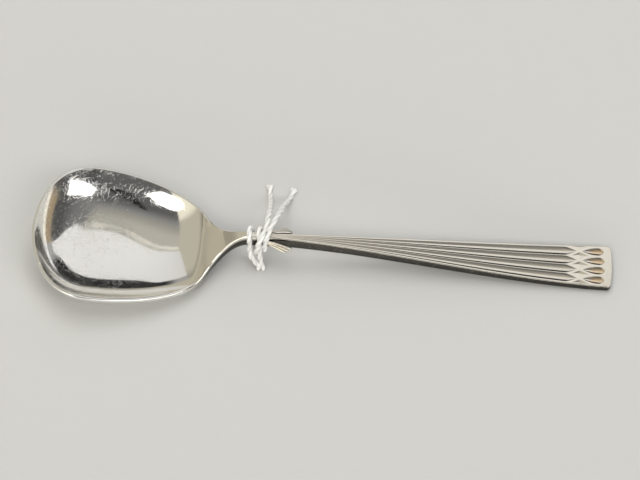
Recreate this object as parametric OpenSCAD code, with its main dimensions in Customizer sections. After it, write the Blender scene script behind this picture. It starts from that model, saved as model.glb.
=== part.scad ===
// Jam spoon: a rounded shovel bowl on a slim neck, a fluted handle that ends in an interlaced arcade,
// a leaf spray on each side of the stem and two strands of cotton string tied round the neck.
// +X runs from the bowl's tip to the end of the handle, +Z is up, and the spoon lies on its back on z = 0.
// Sizes are in millimetres. Distances along the spoon, called s below, are measured from the bowl's tip.

/* [Overall] */
// Length from the bowl's tip to the end of the handle
overall_len = 145; // [130:1:165]

/* [Bowl] */
// Length from the tip to the root of the neck
bowl_len = 43; // [38:0.5:48]
// Widest width across the rim
bowl_w = 38; // [32:0.5:44]
// Distance of the widest place from the tip
bowl_front = 15; // [12:0.5:18]
// Depth of the hollow below the rim
bowl_depth = 6; // [5:0.1:8]
// Thickness of the metal at the bottom of the bowl
bowl_wall = 1.2; // [0.9:0.1:2]
// Height of the edge at the rim
rim_t = 0.9; // [0.6:0.1:1.4]
// Fall of the rim from the tip to the neck, as the spoon lies
rim_fall = 8.1; // [6:0.1:10]
// Power of the hollow's curve: 1 is a parabola, a higher one is flatter in the middle
hollow_power = 1.7; // [1:0.1:2.5]
// Width across the root, where the outline turns towards the neck
root_w = 17.4; // [13:0.2:21]
// Steepness of the outline at the root
root_slope = 1.6; // [1.2:0.1:1.8]

/* [Neck] */
// Width of the neck
neck_w = 2.3; // [2.1:0.1:3.2]
// Thickness of the neck
neck_t = 4; // [3.4:0.1:4.6]
// Height that the neck's top rises to above the table
neck_h = 12.3; // [10.5:0.1:14]
// Length over which the bowl's shoulders run into the neck
neck_blend = 11; // [9:0.5:13]
// Length of the straight neck up to its joint with the handle
neck_len = 3; // [2:0.5:6]

/* [Tang] */
// Diameter of the round tang that joins the neck to the handle
tang_d = 0.8; // [0.6:0.1:1]
// Length of the tang
tang_len = 4; // [3:0.5:6]
// Clearance round the tang in its bore
tang_gap = 0.02; // [0.01:0.01:0.05]
// Room left at the bottom of the bore
tang_end_gap = 0.3; // [0.1:0.1:1]

/* [Handle] */
// Width at the end of the handle
end_w = 11.9; // [9:0.1:15]
// Height of the top face at the end of the handle
end_t = 2.4; // [1.8:0.1:3.2]
// Length over which the stem narrows behind the joint
collar_len = 4.5; // [3:0.5:7]
// Width that the side line starts from, at the stem's waist
waist_w = 1.2; // [1:0.1:1.8]
// Width that pulls the side line near the stem
stem_w = 3.3; // [2.6:0.1:4]
// Width that pulls the side line near the end
grip_w = 10.3; // [8:0.1:13]
// Thickness that pulls the underside near the stem
stem_t = 3.6; // [3:0.1:5]
// Thickness of the outer half of the handle
grip_t = 2.6; // [2.5:0.1:3.4]
// Radius of the corners at the end, seen from above
corner_r = 0.9; // [0.5:0.1:2]
// How far the end bows out between its corners
end_bow = 0.5; // [0.2:0.1:1]
// Chamfer along the edges of the underside
under_chamfer = 0.4; // [0.2:0.1:0.6]

/* [Ornament] */
// Number of flutes across the handle
flutes = 4; // [3:1:6]
// Depth of a flute at its widest place
flute_depth = 0.36; // [0.2:0.02:0.5]
// Width of the plain border beside the flutes
border_w = 0.4; // [0.3:0.05:0.6]
// Width of the softened edge outside the border
edge_w = 0.15; // [0.1:0.05:0.2]
// Length of the interlaced arches, from the forks of the ridges to the widest place of the last hollows
arcade_len = 8.2; // [6:0.2:11]
// Width of the flat bands that the ridges become in the arches
band_w = 0.6; // [0.3:0.05:0.9]
// Length of the round ends of the last hollows
arch_end = 1.6; // [1:0.1:2.4]
// Length of the plain band at the end of the handle
end_band = 1.8; // [1:0.1:3]

/* [Leaf sprays] */
// Distance from the joint to the root of a spray
leaf_start = 1; // [0.9:0.1:2]
// Length of the longest lobe
leaf_len = 7.1; // [5:0.1:8]
// Length of the shortest lobe
leaf_short = 4.9; // [3.5:0.1:6]
// Number of lobes in a spray
leaf_lobes = 3; // [2:1:4]
// How far a lobe swells out of the spray
leaf_bulge = 0.3; // [0.2:0.05:0.6]
// Thickness of a spray along its root and its tips
leaf_edge = 0.2; // [0.1:0.05:0.4]
// Thickness of a spray elsewhere
leaf_shell = 0.6; // [0.5:0.05:0.7]
// Distance of the root's upper edge below the top of the stem
leaf_drop = 0.4; // [0.3:0.1:0.7]
// Height of a spray at its root
leaf_high = 1.5; // [1:0.1:1.7]
// Angle that the upper lobe dips below the line of the stem
upper_dip = 13; // [8:1:16]
// Angle that the lower lobe dips below the line of the stem
lower_dip = 4; // [0:1:8]
// Angle that the upper lobe stands out from the stem
upper_flare = 8; // [4:1:12]
// Angle that the lower lobe stands out from the stem
lower_flare = 27; // [20:1:30]
// Film of solder between a spray and the stem
solder_gap = 0.03; // [0.02:0.01:0.05]

/* [Tie] */
// Diameter of a string
strand_d = 0.95; // [0.8:0.05:1]
// Air between a string and the neck that it is wound on
strand_gap = 0.12; // [0.05:0.01:0.3]

/* [Hidden] */
silver = "#cfc9bd";
cotton = "#ecebe6";

// Places along the spoon, measured from the tip
neck_s = bowl_len + neck_blend;
joint_s = neck_s + neck_len;
band_s = overall_len - end_band;
hollow_s = band_s - arch_end;
fork_s = hollow_s - arcade_len;
tip_x = -overall_len / 2;
joint_x = tip_x + joint_s;

// Where the neck starts to rise, where the handle starts to fall and where its fall would level out
rise_s = bowl_len - 3;
fall_s = bowl_len + 3;
fall_end_s = overall_len + 4;
// Where the bowl's thin wall starts to thicken towards the neck
thicken_s = bowl_len - 9;

// Pulls of the outline's curves at the tip, the cheeks, the sides, the shoulders and the neck
tip_pull = 0.3 * bowl_w / 2;
cheek_pull = 0.81 * bowl_front;
side_pull = 0.3 * (bowl_len - bowl_front);
shoulder_pull = 4.7;
root_pull = 0.3 * neck_blend;
neck_pull = 0.4 * neck_blend;

// Counts: points of the outline's curves and along the keel, then steps along and across each surface
curve_steps = 40;
keel_steps = 200;
tip_steps = 8;
side_steps = 12;
blend_steps = 9;
neck_steps = 2;
bowl_columns = 24;
flute_rows = 18;
arcade_rows = 24;
corner_rows = 4;
flute_columns = 6;
all_flutes = flutes * flute_columns;
leaf_rows = 12;
lobe_columns = 8;
strand_sides = 8;
wrap_rings = 33;
ring_step = 2.6;

// A smooth step from 0 at a to 1 at b
function ease(x, a, b) = let (t = min(1, max(0, (x - a) / (b - a)))) t * t * (3 - 2 * t);
function mix(a, b, t) = a + (b - a) * t;
// A point of a cubic curve with two ends and two pulls
function bez(p, t) = let (r = 1 - t)
    r * r * r * p[0] + 3 * r * r * t * p[1] + 3 * r * t * t * p[2] + t * t * t * p[3];
function unit(v) = v / norm(v);

// Half outline of the bowl and neck, as [s, half width]: tip, side, then the blend into the neck
tip_curve = [[0, 0], [0, tip_pull], [bowl_front - cheek_pull, bowl_w / 2], [bowl_front, bowl_w / 2]];
side_curve = [
    [bowl_front, bowl_w / 2],
    [bowl_front + side_pull, bowl_w / 2],
    [bowl_len - shoulder_pull, root_w / 2 + root_slope * shoulder_pull],
    [bowl_len, root_w / 2]
];
blend_curve = [
    [bowl_len, root_w / 2],
    [bowl_len + root_pull, root_w / 2 - root_slope * root_pull],
    [neck_s - neck_pull, neck_w / 2],
    [neck_s, neck_w / 2]
];
outline = concat(
    [for (k = [0:curve_steps - 1]) bez(tip_curve, k / curve_steps)],
    [for (k = [0:curve_steps - 1]) bez(side_curve, k / curve_steps)],
    [for (k = [0:curve_steps]) bez(blend_curve, k / curve_steps)],
    [[joint_s, neck_w / 2]]
);
function half_w(s) = lookup(s, outline);

// Share of the full depth, from 0 at the rim: v runs from -1 to 1 across the bowl
function inset(s, v) = max(0, 1 - v * v) * pow(2 * half_w(s) / bowl_w, 2);
function hollow(q) = 1 - pow(max(0, 1 - q), hollow_power);
function metal(s, q) = mix(rim_t + (bowl_wall - rim_t) * q, neck_t, ease(s, thicken_s, neck_s));

// The rim's height at the tip puts the lowest place of the bowl's underside on z = 0
rim_z = max([for (k = [1:keel_steps]) let (s = rise_s * k / keel_steps, q = inset(s, 0))
    rim_fall * ease(s, 0, neck_s) + bowl_depth * hollow(q) + metal(s, q)]);
neck_rise = neck_h - rim_z + rim_fall;
handle_fall = (neck_h - end_t) / ease(overall_len, fall_s, fall_end_s);
// Height of the rim, the neck's top and the handle's top face: three smooth steps
function top_z(s) = rim_z - rim_fall * ease(s, 0, neck_s) + neck_rise * ease(s, rise_s, neck_s)
    - handle_fall * ease(s, fall_s, fall_end_s);

// A closed solid between an upper and a lower grid of points with the same rows and columns
module slab(upper, lower) {
    n = len(upper) - 1;
    m = len(upper[0]) - 1;
    size = (n + 1) * (m + 1);
    function up(i, j) = i * (m + 1) + j;
    function low(i, j) = size + up(i, j);
    points = concat([for (row = upper) for (p = row) p], [for (row = lower) for (p = row) p]);
    faces = concat(
        [for (i = [0:n - 1]) for (j = [0:m - 1]) each [
            [up(i, j), up(i, j + 1), up(i + 1, j + 1)], [up(i, j), up(i + 1, j + 1), up(i + 1, j)],
            [low(i, j), low(i + 1, j + 1), low(i, j + 1)], [low(i, j), low(i + 1, j), low(i + 1, j + 1)]]],
        [for (i = [0:n - 1]) each [
            [up(i, 0), up(i + 1, 0), low(i + 1, 0)], [up(i, 0), low(i + 1, 0), low(i, 0)],
            [up(i + 1, m), up(i, m), low(i, m)], [up(i + 1, m), low(i, m), low(i + 1, m)]]],
        [for (j = [0:m - 1]) each [
            [up(0, j + 1), up(0, j), low(0, j)], [up(0, j + 1), low(0, j), low(0, j + 1)],
            [up(n, j), up(n, j + 1), low(n, j + 1)], [up(n, j), low(n, j + 1), low(n, j)]]]
    );
    polyhedron(points, faces);
}

// Rows of the bowl's grid start and end on the outline, from the corner of the blunt tip to the joint.
// The corner's place on the tip's curve is where the outline turns from the tip to the side.
corner_t = 0.45;
bowl_side = concat(
    [for (k = [0:tip_steps - 1]) bez(tip_curve, mix(corner_t, 1, k / tip_steps))],
    [for (k = [0:side_steps - 1]) bez(side_curve, k / side_steps)],
    [for (k = [0:blend_steps - 1]) bez(blend_curve, k / blend_steps)],
    [for (k = [0:neck_steps]) [mix(neck_s, joint_s, k / neck_steps), neck_w / 2]]
);
// The first row follows the blunt tip, and its bow fades out towards the root
function bowl_point(i, b) = let (
    side = bowl_side[i],
    corner = bowl_side[0],
    tip = bez(tip_curve, corner_t * abs(b)),
    fade = 1 - ease(side[0], corner[0], bowl_len)
) [side[0] - fade * (corner[0] - tip[0]), b * side[1] + fade * (sign(b) * tip[1] - b * corner[1])];
function bowl_grid(under) = [for (i = [0:len(bowl_side) - 1]) [for (j = [0:bowl_columns]) let (
    p = bowl_point(i, 2 * j / bowl_columns - 1),
    w = max(half_w(p[0]), 0.01),
    q = inset(p[0], min(1, abs(p[1]) / w))
) [tip_x + p[0], p[1], top_z(p[0]) - bowl_depth * hollow(q) - under * metal(p[0], q)]]];

// The tang and its bore run along the stem from the middle of the joint's face
joint_z = top_z(joint_s) - neck_t / 2;
joint_turn = atan((top_z(joint_s) - top_z(joint_s + tang_len)) / tang_len);
module along_tang(from) {
    translate([joint_x, 0, joint_z]) rotate([0, 90 + joint_turn, 0]) translate([0, 0, from]) children();
}

// Side line, thickness and flutes of the handle
function along(s) = (s - joint_s) / (overall_len - joint_s);
function corner_cut(s) = let (d = max(0, s - overall_len + corner_r))
    corner_r - sqrt(max(0, corner_r * corner_r - d * d));
function handle_half(s) = let (collar = ease(s, joint_s, joint_s + collar_len))
    mix(neck_w, bez([waist_w, stem_w, grip_w, end_w], along(s)), collar) / 2;
function handle_t(s) = bez([neck_t, stem_t, grip_t, grip_t], along(s));
function under_z(s) = max(0, top_z(s) - handle_t(s));
function flute_w(s) = (2 * handle_half(s) - 2 * border_w) / flutes;
flute_end_w = flute_w(hollow_s);

// Depth of a flute at u, from -1 to 1 across it, and of the arches that its ridges split into.
// The opening is 1 along the flute, closes and opens again where the ridges cross, and ends round.
function opening(s) = let (a = (s - fork_s) / arcade_len, e = (s - hollow_s) / arch_end)
    a < 0 ? 1 : e < 0 ? abs(cos(180 * a)) : e < 1 ? sqrt(1 - e * e) : 0;
function lens(u, half) = half < 0.01 ? 0 : half * max(0, 1 - pow(u / half, 2));
function band(s) = band_w / flute_w(s) * ease(s, fork_s - band_w, fork_s + 2 * band_w);
function flute(s, u) = let (
    o = opening(s),
    outer = s < hollow_s ? lens(1 - abs(u), 1 - o - band(s)) : 0
) max(lens(u, o - band(s)), outer);
function relief(s, y) = let (
    w = flute_w(s),
    place = (y + flutes * w / 2) / w,
    u = 2 * (place - floor(place)) - 1
) abs(y) >= flutes * w / 2 - 0.001 ? 0 : flute_depth * w / flute_end_w * flute(s, u);

handle_rows = concat(
    [for (k = [0:flute_rows - 1]) mix(joint_s, fork_s, k / flute_rows)],
    [for (k = [0:arcade_rows - 1]) mix(fork_s, band_s, k / arcade_rows)],
    [band_s],
    [for (k = [0:corner_rows]) overall_len - corner_r * (1 - sin(90 * k / corner_rows))]
);
// Columns across the handle at s: softened edge, border, then the flutes
function handle_columns(s) = let (h = handle_half(s) - corner_cut(s), f = flutes * flute_w(s) / 2) concat(
    [-h, edge_w - h],
    [for (k = [0:all_flutes]) min(f, h - edge_w) * (2 * k / all_flutes - 1)],
    [h - edge_w, h]
);
function bow(s, y) = end_bow * pow(2 * y / end_w, 2) * ease(s, fork_s, overall_len);
function handle_top(s, y, h) = top_z(s) - relief(s, y) - edge_w * (abs(y) > h - edge_w / 2 ? 1 : 0);
function handle_under(s, y, h) = under_z(s) + (abs(y) > h - edge_w / 2 ? under_chamfer : 0);
function handle_grid(under) = [for (s = handle_rows) let (ys = handle_columns(s), h = ys[len(ys) - 1])
    [for (y = ys) [tip_x + s - bow(s, y), y, under ? handle_under(s, y, h) : handle_top(s, y, h)]]];

// A leaf spray on the left side of the stem: a shell with round lobes, which flares away from it.
// a runs along a lobe and b across the spray from its upper to its lower edge.
leaf_s = joint_s + leaf_start;
leaf_columns = leaf_lobes * lobe_columns;
leaf_root = 0.1;
leaf_full = 0.8;
notch_reach = 0.84;
function lobe(b) = sqrt(abs(sin(180 * leaf_lobes * b)));
function leaf_reach(b) = mix(leaf_len, leaf_short, b) * mix(notch_reach, 1, b > 0 && b < 1 ? lobe(b) : 0);
// From 1 along a lobe to 0 at the end of its round nose
function blunt(a) = let (nose = max(0, (a - leaf_full) / (1 - leaf_full))) sqrt(max(0, 1 - nose * nose));
function leaf_point(a, b, out) = let (
    reach = a * leaf_reach(b),
    dip = mix(upper_dip, lower_dip, b),
    s = leaf_s + reach * cos(dip),
    stand = leaf_edge + reach * tan(mix(upper_flare, lower_flare, b)),
    ridge = 0.7 * leaf_bulge * (b > 0 && b < 1 ? lobe(b) : 0) * ease(a, 0, 0.5) * blunt(a),
    thick = 0.7 * mix(leaf_edge, leaf_shell, blunt(a)),
    y = handle_half(s) + solder_gap + (out ? stand + ridge : max(0, stand - thick)),
    z = top_z(s) - leaf_drop - leaf_high * b - reach * sin(dip) + (out ? ridge : -thick)
) [tip_x + s, y, z];
function leaf_grid(out) = [for (i = [0:leaf_rows]) [for (j = [0:leaf_columns])
    leaf_point(mix(leaf_root, 1, i / leaf_rows), j / leaf_columns, out)]];

// A smooth curve through hand-set points, with a point at least every step
function spline(p, step) = let (n = len(p) - 1) concat([for (i = [0:n - 1]) let (
    a = i == 0 ? 2 * p[0] - p[1] : p[i - 1],
    b = p[i],
    c = p[i + 1],
    d = i == n - 1 ? 2 * p[n] - p[n - 1] : p[i + 2],
    parts = max(1, ceil(norm(c - b) / step))
) for (k = [0:parts - 1]) let (t = k / parts, bend = 2 * a - 5 * b + 4 * c - d, twist = 3 * b - a - 3 * c + d)
    b + t * (c - a) / 2 + t * t * bend / 2 + t * t * t * twist / 2], [p[n]]);
// One unbroken tube along a path, with rings that don't twist
module tube(path, d, sides) {
    n = len(path);
    heading = [for (i = [0:n - 1]) unit(path[min(n - 1, i + 1)] - path[max(0, i - 1)])];
    function square_to(v, t) = unit(v - (v * t) * t);
    side = [for (i = 0, v = [0, 0, 1]; i < n; i = i + 1, v = i < n ? square_to(v, heading[i]) : v)
        square_to(v, heading[i])];
    points = [for (i = [0:n - 1]) let (across = cross(heading[i], side[i])) for (k = [0:sides - 1])
        path[i] + d / 2 * (cos(360 * k / sides) * side[i] + sin(360 * k / sides) * across)];
    function at(i, k) = i * sides + k % sides;
    faces = concat(
        [for (i = [0:n - 2]) for (k = [0:sides - 1]) each [
            [at(i, k), at(i + 1, k), at(i + 1, k + 1)], [at(i, k), at(i + 1, k + 1), at(i, k + 1)]]],
        [for (k = [1:sides - 2]) [at(0, 0), at(0, k), at(0, k + 1)]],
        [for (k = [1:sides - 2]) [at(n - 1, 0), at(n - 1, k + 1), at(n - 1, k)]]
    );
    polyhedron(points, faces);
}
function least_gap(p, d, skip) = let (last = len(p) - 1)
    min([for (i = [0:last]) for (j = [i + skip:1:last]) norm(p[i] - p[j])]) - d;

// The wrap of a strand: its angle starts at the back, goes over the top and down the front, under the neck,
// up the back, over the top again and down the front. Its place along the neck and its lift off the neck
// are sums of smooth steps, each [amount, from angle, to angle].
wrap_from = 60;
wrap_to = 540;
function steps(list, angle) = [for (e = list) e[0] * ease(angle, e[1], e[2])] * [for (e = list) 1];
wrap_corner = 1.4;
function square_up(c) = sin(90 * max(-1, min(1, wrap_corner * c)));
function wrap_point(start, slide, lift, angle) = let (
    x = start + steps(slide, angle),
    off = strand_d / 2 + strand_gap + steps(lift, angle)
) [x, neck_w / 2 * square_up(cos(angle)) + off * cos(angle),
    top_z(joint_s + x) - neck_t / 2 + neck_t / 2 * square_up(sin(angle)) + off * sin(angle)];
function wrap(start, slide, lift) = [for (k = [0:wrap_rings - 1])
    wrap_point(start, slide, lift, mix(wrap_from, wrap_to, k / (wrap_rings - 1)))];

// Left strand: long tail from the table up to the neck, a wrap outside the other one, then the short tail.
// x is measured from the joint.
left_tail = [
    [0.92, 21.17, 0.6], [1.2, 18.38, 0.9], [1.52, 15.18, 2.89], [1.74, 11.52, 6.52], [1.71, 7.83, 9.8],
    [1.49, 4.43, 12.06]
];
left_start = 1.21;
left_slide = [[-2.62, 40, 240], [-1.45, 275, 430], [0.1, 450, 540]];
left_lift = [[1.05, 55, 112], [-0.35, 180, 225], [-0.7, 215, 290]];
left_drop = [
    [-2.75, -2.18, 7.86], [-2.53, -2.73, 6.16], [-1.72, -2.95, 4.09], [-1.12, -3, 2.39], [-0.71, -3.05, 0.6]
];
left_route = concat(left_tail, wrap(left_start, left_slide, left_lift), left_drop);

// Right strand: the same, wound close to the neck
right_tail = [
    [7.21, 20.25, 0.6], [6.59, 18.05, 0.9], [5.72, 15.23, 2.89], [4.99, 11.76, 6.52], [4.36, 8.06, 9.8],
    [3.29, 4.44, 11.87]
];
right_start = 2.25;
right_slide = [[-1.28, 40, 190], [-1.4, 270, 420], [0.05, 450, 540]];
right_lift = [[0, 80, 160]];
right_drop = [
    [-0.38, -1.82, 7.95], [-0.35, -2.18, 6.26], [-0.17, -2.62, 4.28], [0.13, -2.88, 2.39], [0.46, -3.04, 0.6]
];
right_route = concat(right_tail, wrap(right_start, right_slide, right_lift), right_drop);

// Least gap of each strand to itself, on close points, leaving out the next few millimetres along it
gap_step = 0.3;
gap_skip = 12;
echo(left_strand_gap = least_gap(spline(left_route, gap_step), strand_d, gap_skip));
echo(right_strand_gap = least_gap(spline(right_route, gap_step), strand_d, gap_skip));

module bowl() {
    color(silver) union() {
        slab(bowl_grid(0), bowl_grid(1));
        along_tang(-neck_len / 2) cylinder(d = tang_d, h = tang_len + neck_len / 2, $fn = 48);
    }
}

module handle() {
    color(silver) difference() {
        slab(handle_grid(false), handle_grid(true));
        along_tang(-neck_len / 2)
            cylinder(d = tang_d + 2 * tang_gap, h = tang_len + tang_end_gap + neck_len / 2, $fn = 48);
    }
}

module leaf_left() {
    color(silver) slab(leaf_grid(true), leaf_grid(false));
}

module leaf_right() {
    mirror([0, 1, 0]) leaf_left();
}

module tie_strand_left() {
    color(cotton) translate([joint_x, 0, 0]) tube(spline(left_route, ring_step), strand_d, strand_sides);
}

module tie_strand_right() {
    color(cotton) translate([joint_x, 0, 0]) tube(spline(right_route, ring_step), strand_d, strand_sides);
}

bowl();
handle();
leaf_left();
leaf_right();
tie_strand_left();
tie_strand_right();
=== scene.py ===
"""A silver jam spoon with a fluted handle, two leaf sprays and a cotton string tied round its neck.

Every surface is a function of two parameters, worked out on whole grids. Lengths are in metres, +X runs from
the bowl's tip to the end of the handle, +Z is up, and s is the distance from the tip along the spoon.
"""
import math

import bmesh
import bpy
import numpy as np
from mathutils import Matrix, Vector


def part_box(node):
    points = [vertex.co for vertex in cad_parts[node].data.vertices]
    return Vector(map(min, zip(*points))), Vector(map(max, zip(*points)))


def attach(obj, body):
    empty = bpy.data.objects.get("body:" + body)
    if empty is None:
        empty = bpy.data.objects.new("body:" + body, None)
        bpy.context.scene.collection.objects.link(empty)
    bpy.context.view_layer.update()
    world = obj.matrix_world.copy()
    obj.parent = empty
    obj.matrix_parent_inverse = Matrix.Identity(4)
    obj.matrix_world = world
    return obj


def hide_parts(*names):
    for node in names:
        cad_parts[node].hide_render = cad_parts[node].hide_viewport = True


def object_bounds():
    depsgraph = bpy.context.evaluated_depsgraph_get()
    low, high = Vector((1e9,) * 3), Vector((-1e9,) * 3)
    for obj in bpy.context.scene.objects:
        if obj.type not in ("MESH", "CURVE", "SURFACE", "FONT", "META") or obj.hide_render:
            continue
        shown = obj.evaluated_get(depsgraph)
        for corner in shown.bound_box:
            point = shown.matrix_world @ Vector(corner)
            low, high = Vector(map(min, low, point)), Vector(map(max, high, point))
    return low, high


bl_info = {
    "name": "Jam Spoon",
    "version": (1, 0, 0),
    "blender": (4, 5, 0),
    "location": "View3D > Sidebar > Jam Spoon",
    "description": "Builds a silver jam spoon with a fluted handle and a cotton string tie",
    "category": "Add Mesh",
}

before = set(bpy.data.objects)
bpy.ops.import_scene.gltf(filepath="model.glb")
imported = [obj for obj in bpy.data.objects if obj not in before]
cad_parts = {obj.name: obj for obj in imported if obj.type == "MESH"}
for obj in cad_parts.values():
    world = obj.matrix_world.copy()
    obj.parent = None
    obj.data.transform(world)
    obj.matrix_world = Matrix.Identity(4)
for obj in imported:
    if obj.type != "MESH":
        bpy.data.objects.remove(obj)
CAD_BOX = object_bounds()
BOWL_LOW, BOWL_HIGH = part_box("bowl")
HANDLE_LOW, HANDLE_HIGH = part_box("handle")

MM = 0.001
WELD = 0.0001 * MM
TINY = 1e-9


# Settings that a user would change

def size(label, about, length):
    """A length property: its default is given in millimetres and kept in metres."""
    return bpy.props.FloatProperty(
        name=label, description=about, default=length * MM, min=0, precision=5,
        unit="LENGTH", subtype="DISTANCE")


def share(label, about, value):
    """A plain number property."""
    return bpy.props.FloatProperty(name=label, description=about, default=value, min=0, precision=3)


def number(label, about, value, low, high):
    """A whole number property."""
    return bpy.props.IntProperty(name=label, description=about, default=value, min=low, max=high)


def angle(label, about, degrees):
    """An angle property: its default is given in degrees and kept in radians."""
    return bpy.props.FloatProperty(
        name=label, description=about, default=math.radians(degrees), unit="ROTATION", subtype="ANGLE")


def colour(label, about, red, green, blue):
    """A colour property."""
    return bpy.props.FloatVectorProperty(
        name=label, description=about, default=(red, green, blue, 1), size=4, min=0, max=1, subtype="COLOR")


class JamSpoonBowl(bpy.types.PropertyGroup):
    """Sizes of the bowl and its neck"""
    length: size("Length", "From the tip to the root of the neck", 43)
    width: size("Width", "Widest width across the rim", (BOWL_HIGH.y - BOWL_LOW.y) / MM)
    front: size("Front", "Distance of the widest place from the tip", 15)
    depth: size("Depth", "Depth of the hollow below the rim", 6)
    wall: size("Wall", "Thickness of the metal at the bottom", 1.2)
    rim: size("Rim", "Height of the edge at the rim", 0.9)
    land: size("Land", "Width of the rounded land along the rim", 0.7)
    rim_fall: size("Rim fall", "Fall of the rim from the tip to the neck", 8.1)
    hollow_power: share("Hollow power", "Power of the hollow's curve, where 1 is a parabola", 1.7)
    root_width: size("Root width", "Width where the outline turns towards the neck", 17.4)
    root_slope: share("Root slope", "Steepness of the outline at the root", 1.6)
    shoulder_pull: size("Shoulder pull", "Pull of the side's curve before the root", 4.7)
    neck_width: size("Neck width", "Width of the neck", 2.3)
    neck_thickness: size("Neck thickness", "Thickness of the neck", 4)
    neck_height: size("Neck height", "Height of the neck's top above the table", 12.3)
    neck_blend: size("Neck blend", "Length over which the shoulders run into the neck", 11)
    neck_length: size("Neck length", "Length of the straight neck up to its joint", 3)
    neck_round: size("Neck rounding", "How far the neck's sides are rounded in", 0.55)
    rim_power: share("Rim power", "Squareness of the rim's edge, where 2 is an ellipse", 5)
    neck_power: share("Neck power", "Squareness of the neck's sides, where 2 is an ellipse", 2.4)


class JamSpoonHandle(bpy.types.PropertyGroup):
    """Sizes of the handle and its ornament"""
    end_width: size("End width", "Width at the end", (HANDLE_HIGH.y - HANDLE_LOW.y) / MM)
    end_height: size("End height", "Height of the top face at the end", 2.4)
    collar: size("Collar", "Length over which the stem narrows behind the joint", 4.5)
    waist: size("Waist", "Width that the side line starts from", 1.2)
    stem_width: size("Stem width", "Width that pulls the side line near the stem", 3.3)
    grip_width: size("Grip width", "Width that pulls the side line near the end", 10.3)
    stem_thickness: size("Stem thickness", "Thickness that pulls the underside near the stem", 3.6)
    grip_thickness: size("Grip thickness", "Thickness of the outer half", 2.6)
    corner: size("Corner", "Radius of the corners at the end, seen from above", 0.9)
    bow: size("Bow", "How far the end bows out between its corners", 0.5)
    edge: size("Edge", "Radius of the top edges", 0.18)
    under_edge: size("Under edge", "Radius of the edges of the underside", 0.8)
    stem_round: size("Stem rounding", "Rounding added to the edges at the joint", 0.4)
    stem_blend: size("Stem blend", "Length over which that rounding fades", 6)
    flutes: number("Flutes", "Number of flutes", 4, 2, 6)
    flute_depth: size("Flute depth", "Depth of a flute at its widest place", 0.36)
    crest: size("Crest", "Softness of the edges of the flutes", 0.012)
    ridge: share("Ridge", "Flat part of the ridges between the flutes, as a share of a flute", 0.06)
    band: size("Band", "Width of the flat bands that the ridges become in the arches", 0.6)
    border: size("Border", "Width of the plain border beside the flutes", 0.4)
    arcade: size("Arcade", "Length of the interlaced arches", 8.2)
    cross_power: share("Cross power", "Power of the way along the arches: below 1, they cross earlier", 0.8)
    cross_depth: share("Cross depth", "Depth of the hollows between crossings, relative to the flutes", 0.35)
    arch_end: size("Arch end", "Length of the round ends of the last hollows", 1.6)
    end_band: size("End band", "Length of the plain band at the end", 1.8)


class JamSpoonLeaf(bpy.types.PropertyGroup):
    """Sizes of a leaf spray"""
    start: size("Start", "From the joint to the root of a spray", 1)
    long_lobe: size("Long lobe", "Length of the longest lobe", 7.1)
    short_lobe: size("Short lobe", "Length of the shortest lobe", 4.9)
    lobes: number("Lobes", "Number of lobes", 3, 2, 4)
    bulge: size("Bulge", "How far a lobe swells out of the spray", 0.3)
    full: share("Full", "Where a lobe's nose starts, as a share of its length", 0.8)
    edge: size("Edge", "Thickness at the root", 0.2)
    shell: size("Shell", "Thickness of a spray away from its root", 0.6)
    drop: size("Drop", "Distance of the root's upper edge below the top of the stem", 0.4)
    height: size("Height", "Height of a spray at its root", 1.5)
    upper_dip: angle("Upper dip", "Angle that the upper lobe dips below the line of the stem", 9)
    lower_dip: angle("Lower dip", "Angle that the lower lobe dips below the line of the stem", 4)
    upper_flare: angle("Upper flare", "Angle that the upper lobe stands out from the stem", 8)
    lower_flare: angle("Lower flare", "Angle that the lower lobe stands out from the stem", 27)
    solder: size("Solder", "Film of solder between a spray and the stem", 0.03)


class JamSpoonTie(bpy.types.PropertyGroup):
    """Sizes of the string"""
    diameter: size("Diameter", "Diameter of a string", 0.95)
    gap: size("Gap", "Air between a string and the neck", 0.12)
    ply: size("Ply", "Radius of one of the two twisted yarns", 0.45)
    apart: size("Apart", "Distance of a yarn's middle from the string's middle", 0.2)
    twist: size("Twist", "Length of one full turn of the two yarns", 6)
    flare: share("Flare", "How much a cut end opens out", 0.5)
    fibres: number("Fibres", "Stray fibres on a string", 420, 0, 2000)


class JamSpoonFinish(bpy.types.PropertyGroup):
    """Colours of the silver, the string and the floor"""
    polished: colour("Polished silver", "Colour of the polished bowl", 0.93, 0.915, 0.88)
    warm: colour("Warm silver", "Colour of the handled silver", 0.92, 0.87, 0.77)
    # Used for a little tarnish in the handle's recesses, and for painted shade on its walls, the leaf sprays
    # and the bowl's underside at the neck
    tarnish_and_shade_colour: colour("Tarnish", "Colour of the dull film in the recesses", 0.03, 0.026, 0.021)
    blush: colour("Blush", "Colour of the film in the last hollows", 0.88, 0.68, 0.47)
    cotton: colour("Cotton", "Colour of the string", 0.9, 0.9, 0.88)
    floor: colour("Floor", "Colour of the floor", 0.55, 0.55, 0.54)


class JamSpoonStage(bpy.types.PropertyGroup):
    """Camera and light"""
    elevation: angle("Elevation", "Height angle of the camera", 60)
    azimuth: angle("Azimuth", "Turn of the camera round the spoon", 2.395)
    distance: size("Distance", "Distance of the camera from what it looks at", 650)
    target: bpy.props.FloatVectorProperty(
        name="Target", description="Point that the camera looks at", default=(-0.826 * MM, 0, 10.511 * MM),
        unit="LENGTH", subtype="XYZ")
    lens: share("Lens", "Focal length in millimetres on a 36 mm sensor", 147.05)
    lamp: share("Lamp", "Brightness of the two small lamps that the bowl mirrors", 5)
    key: share("Key", "Brightness of the soft light for the floor and the string", 3.4)


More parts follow.
